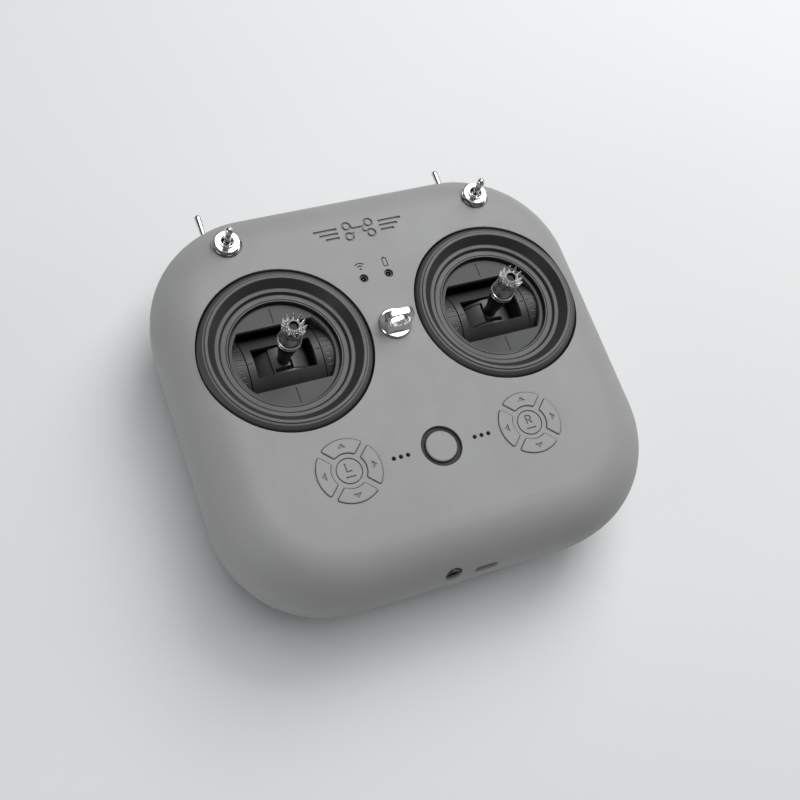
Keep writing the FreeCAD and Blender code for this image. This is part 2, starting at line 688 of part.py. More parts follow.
def stick_shaft():
    """Tapered metal shaft with a plain root in the hub and a thread stud on top."""
    hub_top = PIVOT_Z + HUB_RADIUS
    profile = [
        (0, PIVOT_Z), (STUD_RADIUS, PIVOT_Z), (STUD_RADIUS, hub_top), (2.1, hub_top + 0.05),
        (2.1, 39.5), (SHAFT_TOP_RADIUS, 48.0), (SHAFT_TOP_RADIUS, LOCK_RING_Z),
        (STUD_RADIUS, LOCK_RING_Z), (STUD_RADIUS, 60.0), (1.2, 60.3), (0, 60.3),
    ]
    return turned(profile, STICK_X)


def stick_lock_ring():
    """Lock ring of two round beads, screwed down on the shaft."""
    outer, neck, low = LOCK_RING_RADIUS, LOCK_RING_RADIUS - 0.45, LOCK_RING_Z
    profile = [
        (STUD_RADIUS, low), (outer - 0.3, low), (outer, low + 0.3), (outer, low + 0.6),
        (neck, low + 0.9), (neck, low + 1.1), (outer, low + 1.4), (outer, low + 1.7),
        (outer - 0.3, CROWN_Z), (STUD_RADIUS, CROWN_Z),
    ]
    return turned(profile, STICK_X)


def stick_crown():
    """Crown for the thumb: flared body whose rim is cut into pointed teeth."""
    profile = [
        (STUD_RADIUS, CROWN_Z), (3.4, CROWN_Z), (3.6, CROWN_Z + 0.3), (3.55, 54.6),
        (3.3, 57.0), (CROWN_RIM_RADIUS, 61.5), (CROWN_RIM_RADIUS - 0.15, CROWN_TOP_Z),
        (CUP_RADIUS, CUP_Z), (CUP_RADIUS, 61.0), (CUP_RADIUS - 0.15, 61.15), (STUD_RADIUS, 61.15),
    ]
    crown = turned(profile)
    near, half = CUP_RADIUS + 0.02, 0.96
    notch = Part.Face(Part.makePolygon([
        V(near, 0, NOTCH_Z), V(near, half, CROWN_TOP_Z + 0.3), V(near, -half, CROWN_TOP_Z + 0.3),
        V(near, 0, NOTCH_Z),
    ])).extrude(V(3, 0, 0))
    step = 360 / CROWN_TEETH
    crown = crown.cut([turned_about_z(notch, step * index) for index in range(CROWN_TEETH)])
    return moved(crown, STICK_X)


def coil(length, radius, wire, turns):
    """Close-wound spring along Z, drawn as its row of turns on a thin core."""
    pitch = length / turns
    coils = cylinder(radius - wire * 0.6, 0, length)
    coils = coils.cut(cylinder(radius - wire * 1.4, -1, length + 1))
    for index in range(turns):
        ring = Part.makeTorus(radius - wire / 2, wire / 2, V(0, 0, pitch * (index + 0.5)), UP)
        coils = coils.fuse(ring)
    return coils


def roll_spring():
    """Centring spring of the side-to-side motion, low inside the drum."""
    spring = coil(15.0, 1.3, 0.5, 20)
    spring.rotate(ORIGIN, V(0, 1, 0), 90)
    return moved(spring, STICK_X - 7.5, 0, PIVOT_Z - 8.9)


def pitch_spring():
    """Centring spring of the fore-and-aft motion, beside the outer cheek."""
    return moved(coil(14.0, 1.7, 0.6, 16), STICK_X + 23.4, 8.0, 19.6)


def throttle_strip():
    """Leaf of spring steel that rubs on the throttle drum's cam."""
    strip = block((19.6, 20.8), (-9.0, 9.0), (PIVOT_Z - 5.7, PIVOT_Z - 5.3))
    foot = block((19.0, 20.8), (-9.0, -8.2), (PIVOT_Z - 8, PIVOT_Z - 5.3))
    return moved(strip.fuse(foot).removeSplitter(), STICK_X)


def pitch_sensors():
    """Hall sensor boards facing the axle ends, one for each stick unit."""
    board = block((-20.6, -19.2), (-4.5, 4.5), (PIVOT_Z - 6.5, PIVOT_Z + 6.5))
    chip = block((-19.2, -18.8), (-1.5, 1.5), (PIVOT_Z - 1.5, PIVOT_Z + 1.5))
    sensor = moved(board.fuse(chip), STICK_X)
    return Part.makeCompound([sensor, mirrored(sensor)])


# ---------------------------------------------------------------- toggle switches

def hexagon_nut():
    """Hexagon nut on Z, its seat at Z 0, with chamfered corners."""
    across_corners = NUT_FLATS / cos(radians(30)) / 2
    points = []
    for index in range(6):
        turn = radians(60 * index)
        points.append((across_corners * cos(turn), across_corners * sin(turn)))
    nut = prism(points, 0, NUT_HEIGHT)
    flare = turned([(0, -2), (3.9, -2), (3.9, 0), (5.4, 0.85), (5.4, NUT_HEIGHT - 0.85),
                    (3.9, NUT_HEIGHT), (3.9, NUT_HEIGHT + 1), (0, NUT_HEIGHT + 1)])
    return nut.common(flare).cut(cylinder(BUSH_RADIUS, -1, NUT_HEIGHT + 1))


def washer():
    ring = cylinder(WASHER_RADIUS, 0, WASHER_HEIGHT)
    return ring.cut(cylinder(BUSH_RADIUS, -1, 2))


def toggle_body(bush_root):
    """Switch body on Z, its nut seat at Z 0: block, threaded bush and three tags."""
    body = block((-4, 4), (-4, 4), (bush_root - 9, bush_root))
    body = body.fuse(cylinder(BUSH_RADIUS, bush_root, BUSH_END))
    for y in (-2.5, 0, 2.5):
        body = body.fuse(block((-0.7, 0.7), (y - 0.25, y + 0.25), (bush_root - 11.5, bush_root - 9)))
    mouth = Part.makeCone(BUSH_BORE, BUSH_BORE + 0.4, 1.1, V(0, 0, BUSH_END - 1.1), UP)
    pin_hole = cylinder_x(PIVOT_PIN_HOLE, -PIVOT_PIN_HALF, PIVOT_PIN_HALF, 0, PIVOT_ABOVE_SEAT)
    return body.cut([cylinder(BUSH_BORE, -2.4, BUSH_END), mouth, pin_hole]).removeSplitter()


def toggle_lever(reach, tip_radius):
    """Bat lever with its pivot ball and pin, and the tail that works the contacts."""
    tip = PIVOT_ABOVE_SEAT + reach
    profile = [(0, -1.6), (0.8, -1.6), (0.8, 1.0), (0.9, 3.0), (tip_radius, tip), (0, tip)]
    lever = turned(profile)
    tip_ball = Part.makeSphere(tip_radius, V(0, 0, tip))
    pivot_ball = Part.makeSphere(1.5, V(0, 0, PIVOT_ABOVE_SEAT))
    end = PIVOT_PIN_HALF - 0.05
    pin = cylinder_x(PIVOT_PIN, -end, end, 0, PIVOT_ABOVE_SEAT)
    return lever.fuse([tip_ball, pivot_ball, pin]).removeSplitter()


def on_face(shape):
    """Place a toggle part, made on Z, on the right-hand face seat."""
    return moved(shape, FACE_TOGGLE[0], FACE_TOGGLE[1], FACE_TOGGLE_SEAT_Z)


def on_rear(shape):
    """Place a toggle part, made on Z, on the right-hand rear seat."""
    copy = shape.copy()
    copy.rotate(ORIGIN, V(1, 0, 0), -90)
    return moved(copy, REAR_TOGGLE_X, REAR_TOGGLE_SEAT_Y, REAR_TOGGLE_Z)


def four_places(shape):
    """The same fastener on all four toggle switches."""
    right = [on_face(shape), on_rear(shape)]
    return Part.makeCompound(right + [mirrored(piece) for piece in right])


# ---------------------------------------------------------------- keys and buttons

def trim_key():
    """One trim key pointing to +Y: cap, retaining flange, plunger and engraved arrow."""
    inner, outer = TRIM_RING
    low = INNER_FACE_Z - 0.15
    cap = key_sector(TRIM_STRIP + KEY_GAP, inner + KEY_GAP, outer - KEY_GAP, low, KEY_TOP_Z)
    cap = soften_uprights(cap, 0.45, low, KEY_TOP_Z)
    rim = [edge for edge in cap.Edges if edge.BoundBox.ZMin > KEY_TOP_Z - 0.01]
    cap = cap.makeFillet(0.3, rim)
    flange = key_sector(TRIM_STRIP - 0.4, inner - KEY_FLANGE, outer + KEY_FLANGE, 41.2, low)
    plunger = cylinder(1.4, SWITCH_TOP_Z + KEY_TRAVEL_GAP, 41.2, 0, KEY_CENTRE)
    arrow = prism(KEY_ARROW, KEY_TOP_Z - 0.25, KEY_TOP_Z + 1)
    return cap.fuse([flange, plunger]).cut(arrow).removeSplitter()


def power_button():
    """Round push button with a retaining flange and a plunger."""
    profile = [
        (0, SWITCH_TOP_Z + 0.7), (1.5, SWITCH_TOP_Z + 0.7), (1.5, 39.6), (6.2, 39.6),
        (6.2, 40.9), (POWER_BUTTON, 40.9), (POWER_BUTTON, FACE_Z - 0.3),
        (POWER_BUTTON - 0.3, FACE_Z), (0, FACE_Z),
    ]
    return turned(profile, 0, POWER_Y)


def power_light_ring():
    """Smoked light guide round the power button."""
    profile = [
        (LIGHT_RING_INNER, 41.2), (8.4, 41.2), (8.4, INNER_FACE_Z),
        (LIGHT_RING_OUTER, INNER_FACE_Z), (LIGHT_RING_OUTER, LIGHT_RING_TOP_Z),
        (LIGHT_RING_INNER, LIGHT_RING_TOP_Z),
    ]
    return turned(profile, 0, POWER_Y)


# ---------------------------------------------------------------- electronics

def main_board():
    """Circuit board: wide front part and a tongue between the stick units."""
    front = rounded_plate(44, 24.5, 12, BOARD_BOTTOM_Z, BOARD_TOP_Z, 0, -54.5)
    tongue = block((-10, 10), (-32, 31), (BOARD_BOTTOM_Z, BOARD_TOP_Z))
    board = front.fuse(tongue).removeSplitter()
    return board.cut([cylinder(1.2, 20, 40, x, y) for x, y in BOARD_SCREWS])


def board_screws():
    screws = []
    for x, y in BOARD_SCREWS:
        head = cylinder(2.0, BOARD_BOTTOM_Z - 1.4, BOARD_BOTTOM_Z, x, y)
        screws.append(head.fuse(cylinder(1.0, BOARD_BOTTOM_Z, 37.0, x, y)).removeSplitter())
    return Part.makeCompound(screws)


def key_centres():
    """Where each key presses the board: eight trim keys and the power button."""
    centres = [(0.0, POWER_Y)]
    for x in (TRIM_X, -TRIM_X):
        centres += [(x + KEY_CENTRE, TRIM_Y), (x - KEY_CENTRE, TRIM_Y)]
        centres += [(x, TRIM_Y + KEY_CENTRE), (x, TRIM_Y - KEY_CENTRE)]
    return centres


def tact_switches():
    switches = []
    for x, y in key_centres():
        base = block((x - 3, x + 3), (y - 3, y + 3), (BOARD_TOP_Z, BOARD_TOP_Z + 3.5))
        stem = cylinder(1.75, BOARD_TOP_Z + 3.5, SWITCH_TOP_Z, x, y)
        switches.append(base.fuse(stem).removeSplitter())
    return Part.makeCompound(switches)


def usb_port():
    """Metal shell of the charging and data port, with its contact tongue."""
    y0, y1 = FRONT_Y + 3.4, FRONT_Y + 9.0
    low, high = BOARD_TOP_Z, USB_Z + 1.25
    shell = block((USB_X - 3.75, USB_X + 3.75), (y0, y1), (low, high))
    mouth = block((USB_X - 3.4, USB_X + 3.4), (y0 - 1, y1 - 0.6), (low + 0.35, high - 0.35))
    tongue = block((USB_X - 2.3, USB_X + 2.3), (y0 + 0.8, y1 - 0.3), (USB_Z - 0.25, USB_Z + 0.25))
    return shell.cut(mouth).fuse(tongue).removeSplitter()


def audio_jack():
    """Jack socket for the trainer lead: block body and round nose in the front wall."""
    y0, y1 = FRONT_Y + 4.9, FRONT_Y + 16.5
    body = block((JACK_X - 3.1, JACK_X + 3.1), (y0, y1), (BOARD_TOP_Z, JACK_Z + 2.6))
    nose = cylinder_y(2.6, FRONT_Y + 1.3, y0, JACK_X, JACK_Z)
    bore = cylinder_y(JACK_BORE, FRONT_Y, y1 - 1.0, JACK_X, JACK_Z)
    return body.fuse(nose).cut(bore).removeSplitter()


def led_holders():
    """Black tubes that stand on the board and fill the two lamp holes."""
    holders = []
    for x in (LED_X, -LED_X):
        tube = cylinder(LED_HOLE - 0.05, BOARD_TOP_Z, FACE_Z - 0.7, x, LED_Y)
        holders.append(tube.cut(cylinder(0.85, 39, FACE_Z, x, LED_Y)))
    return Part.makeCompound(holders)


def status_leds():
    """Two small domed lamps inside their holders."""
    lamps = []
    for x in (LED_X, -LED_X):
        lamp = cylinder(0.8, 39, 43.4, x, LED_Y)
        dome = Part.makeSphere(0.8, V(x, LED_Y, 43.4))
        lamps.append(lamp.fuse(dome).removeSplitter())
    return Part.makeCompound(lamps)


def buzzer():
    """Sounder under the right-hand row of holes."""
    case = cylinder(4.5, BOARD_TOP_Z, BOARD_TOP_Z + 5.0, SOUND_HOLES_X[1], POWER_Y)
    return case.cut(cylinder(1.0, BOARD_TOP_Z + 2.0, 40, SOUND_HOLES_X[1], POWER_Y))


def radio_module():
    """Shielded radio board under the tongue of the main board."""
    board = block((-8, 8), (-6, 18), (BOARD_BOTTOM_Z - 1.0, BOARD_BOTTOM_Z))
    shield = block((-6.5, 6.5), (-4, 12), (BOARD_BOTTOM_Z - 3.2, BOARD_BOTTOM_Z - 1.0))
    return board.fuse(shield).removeSplitter()


def antenna():
    """Flat antenna strip on the inside of the rear wall."""
    return block((-21, 21), (50.6, 51.4), (24.5, 31.0))


def battery_cell():
    """Lithium cell with its raised positive cap."""
    cell = cylinder_x(CELL_RADIUS, -CELL_HALF, CELL_HALF - 1.2, CELL_Y, CELL_Z)
    cap = cylinder_x(3.0, CELL_HALF - 1.2, CELL_HALF, CELL_Y, CELL_Z)
    return cell.fuse(cap).removeSplitter()


def battery_bracket():
    """Holder for the cell: base strip, two end walls and the contact plates on them."""
    base = block((-35, 35), HOLDER_BASE, (INNER_FLOOR_Z, INNER_FLOOR_Z + 0.8))
    ends = []
    for x0, x1 in ((CELL_HALF + 0.5, CELL_HALF + 2.5), (-CELL_HALF - 2.5, -CELL_HALF - 0.5)):
        ends.append(cylinder_x(CELL_RADIUS, x0, x1, CELL_Y, CELL_Z))
        ends.append(block((x0, x1), HOLDER_BASE, (INNER_FLOOR_Z, CELL_Z)))
    contacts = [
        block((CELL_HALF, CELL_HALF + 0.5), (-65, -59), (CELL_Z - 4, CELL_Z + 4)),
        block((-CELL_HALF - 0.5, -CELL_HALF), (-65, -59), (CELL_Z - 4, CELL_Z + 4)),
    ]
    return base.fuse(ends + contacts).removeSplitter()


def build():
    os.makedirs("parts", exist_ok=True)
    save("top_case", top_case())
    save("bottom_case", bottom_case())
    save("case_screws", case_screws())
    save("neck_strap_hook", neck_strap_hook())
    save("hook_screw", hook_screw())

    save_pair("bezel", bezel())
    save_pair("face_plate", face_plate())
    save_pair("gimbal_frame", gimbal_frame())
    save_pair("pitch_drum", pitch_drum())
    save_pair("roll_hub", roll_hub())
    save_pair("roll_spring", roll_spring())
    save_pair("stick_shaft", stick_shaft())
    save_pair("stick_lock_ring", stick_lock_ring())
    save_pair("stick_crown", stick_crown())
    save("pitch_bearings", pitch_bearings())
    save("gimbal_screws", gimbal_screws())
    save("pitch_sensors", pitch_sensors())
    save("right_pitch_spring", pitch_spring())
    save("left_throttle_strip", mirrored(throttle_strip()))

    save("toggle_nuts", four_places(moved(hexagon_nut(), 0, 0, WASHER_HEIGHT)))
    save("toggle_washers", four_places(washer()))
    save_pair("face_switch_body", on_face(toggle_body(-SEAT_TO_BODY)))
    save_pair("rear_switch_body", on_rear(toggle_body(-SEAT_TO_BODY)))
    save_pair("face_lever", on_face(toggle_lever(*FACE_LEVER)))
    save_pair("rear_lever", on_rear(toggle_lever(*REAR_LEVER)))

    key = trim_key()
    for side, sign in (("right", 1), ("left", -1)):
        for index, name in enumerate(KEY_NAMES):
            placed = moved(turned_about_z(key, 90 * index), sign * TRIM_X, TRIM_Y)
            save(side + "_trim_" + name, placed)
    save("power_button", power_button())
    save("power_light_ring", power_light_ring())

    save("main_board", main_board())
    save("board_screws", board_screws())
    save("tact_switches", tact_switches())
    save("usb_port", usb_port())
    save("audio_jack", audio_jack())
    save("led_holders", led_holders())
    save("status_leds", status_leds())
    save("buzzer", buzzer())
    save("radio_module", radio_module())
    save("antenna", antenna())
    save("battery_cell", battery_cell())
    save("battery_bracket", battery_bracket())


build()
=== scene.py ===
from math import cos, pi, radians, sin

import bmesh
import bpy
from mathutils import Matrix, Quaternion, Vector


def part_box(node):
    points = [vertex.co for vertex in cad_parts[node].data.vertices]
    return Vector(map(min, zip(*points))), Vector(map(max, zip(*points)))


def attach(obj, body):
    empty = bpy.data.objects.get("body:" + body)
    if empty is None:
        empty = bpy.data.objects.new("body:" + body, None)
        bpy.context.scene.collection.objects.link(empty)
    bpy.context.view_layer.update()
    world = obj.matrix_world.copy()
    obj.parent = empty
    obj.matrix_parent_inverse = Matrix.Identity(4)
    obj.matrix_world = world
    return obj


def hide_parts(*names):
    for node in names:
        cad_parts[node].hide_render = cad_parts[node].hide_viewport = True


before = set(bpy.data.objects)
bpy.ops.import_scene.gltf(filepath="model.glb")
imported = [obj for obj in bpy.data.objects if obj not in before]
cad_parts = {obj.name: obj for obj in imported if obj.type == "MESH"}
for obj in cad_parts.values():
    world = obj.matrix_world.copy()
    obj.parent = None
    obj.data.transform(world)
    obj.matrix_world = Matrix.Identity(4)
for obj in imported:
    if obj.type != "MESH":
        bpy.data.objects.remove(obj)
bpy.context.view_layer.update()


# ------------------------------------------------------------------ case shells
# Two half shells of grey ABS, injection moulded in a spark-eroded tool, which leaves a
# fine matt grain. The halves meet on a shadow line and six screws pull them together.

mm = 0.001


def add_node(tree, kind, inputs=None, **settings):
    """Add a shader node, set its options, and set or link its inputs."""
    made = tree.nodes.new("ShaderNode" + kind)
    for option, value in settings.items():
        setattr(made, option, value)
    for name, value in (inputs or {}).items():
        if isinstance(value, bpy.types.NodeSocket):
            tree.links.new(value, made.inputs[name])
        else:
            made.inputs[name].default_value = value
    return made


def new_finish(name):
    """A material with its node tree, its shader and the object-space position."""
    finish = bpy.data.materials.new(name)
    finish.use_nodes = True
    tree = finish.node_tree
    place = add_node(tree, "TexCoord").outputs["Object"]
    return finish, tree, tree.nodes["Principled BSDF"], place


def noise(tree, place, feature_size, detail=2.0):
    """Noise value with features of the given size."""
    inputs = {"Vector": place, "Scale": 1 / feature_size, "Detail": detail}
    return add_node(tree, "TexNoise", inputs).outputs["Fac"]


def spread(tree, value, low, high):
    """Stretch the middle of a noise value over a range."""
    inputs = {"Value": value, "From Min": 0.3, "From Max": 0.7, "To Min": low, "To Max": high}
    return add_node(tree, "MapRange", inputs).outputs["Result"]


def between(tree, factor, first, second):
    """Colour between two colours."""
    mix = add_node(tree, "Mix", data_type="RGBA")
    for index, value in ((0, factor), (6, first), (7, second)):
        if isinstance(value, bpy.types.NodeSocket):
            tree.links.new(value, mix.inputs[index])
        else:
            mix.inputs[index].default_value = value
    return mix.outputs[2]


def grey(level, warmth=0.0):
    """Grey colour, a little warmer where warmth is above zero."""
    return (level * (1 + warmth), level, level * (1 - warmth), 1)


def moulded_plastic(name, dark, light, roughness, grain, grain_depth, rounding):
    """Moulded plastic: drifting tone, fine grain, painted crease shade and softly rounded edges
    that catch light.
    """
    finish, tree, shader, place = new_finish(name)
    drift = noise(tree, place, 28 * mm, 3)
    speck = noise(tree, place, grain, 3)
    flow = spread(tree, drift, 0, 1)
    tone = between(tree, flow, dark, light)
    lift = add_node(tree, "MapRange", {"Value": speck, "To Min": 0.9, "To Max": 1.1})
    # Ambient occlusion darkens the colour in creases, gaps and recesses: painted shade.
    open_air = add_node(tree, "AmbientOcclusion", {"Distance": 0.7 * mm}, samples=4).outputs["AO"]
    painted_crease_shade = add_node(tree, "MapRange", {"Value": open_air, "From Min": 0.3, "To Min": 0.25})
    both = {0: lift.outputs["Result"], 1: painted_crease_shade.outputs["Result"]}
    shade = add_node(tree, "Math", both, operation="MULTIPLY").outputs["Value"]
    shaded = add_node(tree, "VectorMath", {0: tone, "Scale": shade}, operation="SCALE")
    tree.links.new(shaded.outputs["Vector"], shader.inputs["Base Color"])
    handled = noise(tree, place, 7 * mm, 4)
    gloss = spread(tree, handled, roughness - 0.05, roughness + 0.05)
    tree.links.new(gloss, shader.inputs["Roughness"])
    edge = add_node(tree, "Bevel", {"Radius": rounding}, samples=4).outputs["Normal"]
    skin = {"Height": speck, "Strength": 0.6, "Distance": grain_depth, "Normal": edge}
    tree.links.new(add_node(tree, "Bump", skin).outputs["Normal"], shader.inputs["Normal"])
    return finish


def dress(finish, *names):
    """Give CAD nodes a finish."""
    for name in names:
        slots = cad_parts[name].data.materials
        slots.clear()
        slots.append(finish)


shell_plastic = moulded_plastic(
    "shell_grey_abs", grey(0.335, 0.004), grey(0.36, -0.002), 0.55, 0.22 * mm, 0.02 * mm, 0.2 * mm
)
dress(shell_plastic, "top_case", "bottom_case")


# ------------------------------------------------------------------ battery
# A lithium cell in shrink wrap lies in the front of the lower case, held between the end
# walls of a plated steel bracket. The film wrinkles slightly along the cell.

def cell_wrap_finish():
    """Shrink wrap over the cell: glossy film with faint length-wise folds."""
    finish, tree, shader, place = new_finish("cell_shrink_wrap")
    along = add_node(tree, "Mapping", {"Vector": place, "Scale": (0.1, 1, 1)}).outputs["Vector"]
    folds = noise(tree, along, 1.2 * mm, 3)
    tone = between(tree, spread(tree, folds, 0, 1), (0.02, 0.09, 0.17, 1), (0.03, 0.12, 0.22, 1))
    tree.links.new(tone, shader.inputs["Base Color"])
    gloss = spread(tree, noise(tree, place, 4 * mm), 0.22, 0.34)
    tree.links.new(gloss, shader.inputs["Roughness"])
    bump = add_node(tree, "Bump", {"Height": folds, "Strength": 0.5, "Distance": 0.05 * mm})
    tree.links.new(bump.outputs["Normal"], shader.inputs["Normal"])
    return finish


def worked_metal(name, dark, light, roughness, line_scale, line_depth):
    """Machined or plated metal with tool lines, small marks and a worn, uneven gloss."""
    finish, tree, shader, place = new_finish(name)
    shader.inputs["Metallic"].default_value = 1.0
    drawn = add_node(tree, "Mapping", {"Vector": place, "Scale": line_scale}).outputs["Vector"]
    lines = noise(tree, drawn, 2.5 * mm, 4)
    clouds = noise(tree, place, 1.6 * mm, 4)
    tone = between(tree, spread(tree, clouds, 0, 1), dark, light)
    tree.links.new(tone, shader.inputs["Base Color"])
    uneven = add_node(tree, "Math", {0: lines, 1: clouds}, operation="MULTIPLY").outputs["Value"]
    gloss = add_node(
        tree, "MapRange",
        {"Value": uneven, "From Min": 0.1, "From Max": 0.4,
         "To Min": roughness * 0.7, "To Max": roughness * 1.4},
    )
    tree.links.new(gloss.outputs["Result"], shader.inputs["Roughness"])
    edge = add_node(tree, "Bevel", {"Radius": 0.06 * mm}, samples=4).outputs["Normal"]
    marks = {"Height": lines, "Strength": 0.4, "Distance": line_depth, "Normal": edge}
    tree.links.new(add_node(tree, "Bump", marks).outputs["Normal"], shader.inputs["Normal"])
    return finish


dress(cell_wrap_finish(), "battery_cell")
plated_steel = worked_metal(
    "nickel_plated_steel", grey(0.42, 0.01), grey(0.58, 0.01), 0.32, (1, 8, 1), 0.004 * mm
)
dress(plated_steel, "battery_bracket")


# ------------------------------------------------------------------ circuit board
# Glass-epoxy board under green solder mask with copper tracks showing through. Switches and
# sounder are soldered on top and the radio underneath. The antenna strip is on the rear
# wall, and a small sensor board faces the axle of each stick unit.

def solder_mask_finish():
    """Solder mask over copper tracks that run in straight, square-cornered lanes."""
    finish, tree, shader, place = new_finish("green_solder_mask")
    lanes = add_node(
        tree, "TexBrick",
        {"Vector": place, "Color1": grey(0.0), "Color2": grey(0.6), "Mortar": grey(1.0),
         "Scale": 1 / (3.0 * mm), "Mortar Size": 0.06, "Brick Width": 0.9, "Row Height": 0.45},
    ).outputs["Color"]
    weave = noise(tree, place, 0.5 * mm, 3)
    mask = between(tree, lanes, (0.004, 0.045, 0.02, 1), (0.012, 0.11, 0.045, 1))
    tree.links.new(mask, shader.inputs["Base Color"])
    tree.links.new(spread(tree, weave, 0.25, 0.4), shader.inputs["Roughness"])
    bump = add_node(tree, "Bump", {"Height": lanes, "Strength": 0.5, "Distance": 0.035 * mm})
    tree.links.new(bump.outputs["Normal"], shader.inputs["Normal"])
    return finish


dress(solder_mask_finish(), "main_board", "radio_module", "pitch_sensors", "antenna")
black_plastic = moulded_plastic(
    "black_nylon", grey(0.012), grey(0.02), 0.42, 0.3 * mm, 0.01 * mm, 0.08 * mm
)
dress(black_plastic, "tact_switches", "buzzer")


# ------------------------------------------------------------------ stick units
# Each stick unit is a glass-filled nylon frame with a drum that tips fore and aft in two
# bronze bushes and a hub that tips side to side inside it. Springs bring them back, except
# the left drum, the throttle, which a steel strip rubs on. The cheeks carry angle marks.

crease = radians(28)


def eased_copy(name, source, width, steps=2):
    """A piece made from a CAD node with its sharp edges rounded over."""
    bm = bmesh.new()
    bm.from_mesh(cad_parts[source].data)
    bmesh.ops.remove_doubles(bm, verts=bm.verts, dist=0.002 * mm)
    bmesh.ops.dissolve_limit(bm, angle_limit=radians(0.2), verts=bm.verts, edges=bm.edges)
    for layer in list(bm.loops.layers.float_vector.values()):
        bm.loops.layers.float_vector.remove(layer)
    sharp = [e for e in bm.edges if e.is_manifold and e.calc_face_angle() > crease]
    bmesh.ops.bevel(
        bm, geom=sharp, offset=width, offset_type="OFFSET", segments=steps, profile=0.5,
        affect="EDGES", material=-1, clamp_overlap=True,
    )
    return finished_piece(name, bm)


def finished_piece(name, bm):
    """Turn a bmesh into an object at the origin, smooth shaded from its larger faces."""
    for face in bm.faces:
        face.smooth = True
    mesh = bpy.data.meshes.new(name)
    bm.to_mesh(mesh)
    bm.free()
    piece = bpy.data.objects.new(name, mesh)
    bpy.context.scene.collection.objects.link(piece)
    even = piece.modifiers.new("even_shading", "WEIGHTED_NORMAL")
    even.keep_sharp = True
    return piece


def settle(piece, body, slot, finish, *stands_for):
    """Say what a new piece rides on, what it is made of, and which CAD node it shows."""
    piece.data.materials.append(finish)
    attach(piece, body)
    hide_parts(*stands_for)


gimbal_plastic = moulded_plastic(
    "glass_filled_nylon", grey(0.044, -0.01), grey(0.054, -0.01),
    0.46, 0.25 * mm, 0.012 * mm, 0.12 * mm,
)
bronze = worked_metal(
    "sintered_bronze", (0.36, 0.22, 0.10, 1), (0.5, 0.32, 0.16, 1), 0.42, (1, 1, 1), 0.01 * mm
)
spring_steel = worked_metal(
    "spring_steel_wire", grey(0.3, 0.01), grey(0.42, 0.01), 0.3, (6, 1, 1), 0.004 * mm
)
# The hub is a lighter grey than the frame: painted light, for where the lamps hardly reach it
# inside the drum's window.
hub_plastic_painted_light = moulded_plastic(
    "hub_nylon_painted_light", grey(0.085, -0.01), grey(0.10, -0.01), 0.42, 0.25 * mm, 0.012 * mm, 0.12 * mm
)
# Light grey on the floors of the engraved angle marks is a painted highlight, in place of their
# lit edges.
painted_tick_highlight = moulded_plastic(
    "painted_tick_highlight", grey(0.55), grey(0.62), 0.5, 0.3 * mm, 0.005 * mm, 0.05 * mm
)
pitch_axis_height = 27.1 * mm
tick_floor, tick_rim, outward = 11.7 * mm, 12.13 * mm, 0.5
for side in ("left", "right"):
    cheeks = eased_copy(side + "_cheeks", side + "_gimbal_frame", 0.12 * mm)
    settle(cheeks, "case", "gimbal_plastic", gimbal_plastic, side + "_gimbal_frame")
    cheeks.data.materials.append(painted_tick_highlight)
    # Faces on the floors of the angle marks get the painted highlight.
    for face in cheeks.data.polygons:
        from_axis = Vector((0, face.center.y, face.center.z - pitch_axis_height))
        in_tick = tick_floor < from_axis.length < tick_rim
        face.material_index = int(in_tick and face.normal.dot(from_axis.normalized()) > outward)
    drum = eased_copy(side + "_drum", side + "_pitch_drum", 0.16 * mm)
    settle(drum, side + "_pitch_gimbal", "gimbal_plastic", gimbal_plastic, side + "_pitch_drum")
    hub = eased_copy(side + "_hub", side + "_roll_hub", 0.14 * mm)
    settle(hub, side + "_stick", "gimbal_plastic", hub_plastic_painted_light, side + "_roll_hub")
    dress(spring_steel, side + "_roll_spring")
dress(bronze, "pitch_bearings")
dress(spring_steel, "right_pitch_spring", "left_throttle_strip")
dress(plated_steel, "gimbal_screws", "board_screws", "hook_screw")


# ------------------------------------------------------------------ face plates
# Thin moulded discs that drop into the stick wells and hide the frame. Their opening is a
# circle cut by two straight sides, with a centre line above and below it.

plate_plastic = moulded_plastic(
    "satin_plate_abs", grey(0.125, -0.01), grey(0.135, -0.01), 0.6, 0.2 * mm, 0.012 * mm, 0.1 * mm
)
plate_plastic.node_tree.nodes["Principled BSDF"].inputs["Specular IOR Level"].default_value = 0.15
for side in ("left", "right"):
    plate = eased_copy(side + "_plate", side + "_face_plate", 0.1 * mm)
    settle(plate, "case", "plate_plastic", plate_plastic, side + "_face_plate")


# ------------------------------------------------------------------ bezels
# Stepped rings of dark ABS round the stick wells, pushed up from inside the upper case.
# A high outer crest and two low ridges run round. The slopes and grooves between them are
# moulded a little coarser. The crest and ridges get a lighter copy of the plastic as painted
# light, and the slopes and grooves get a darker copy as painted shade; so, a little less, does
# the outer flank.

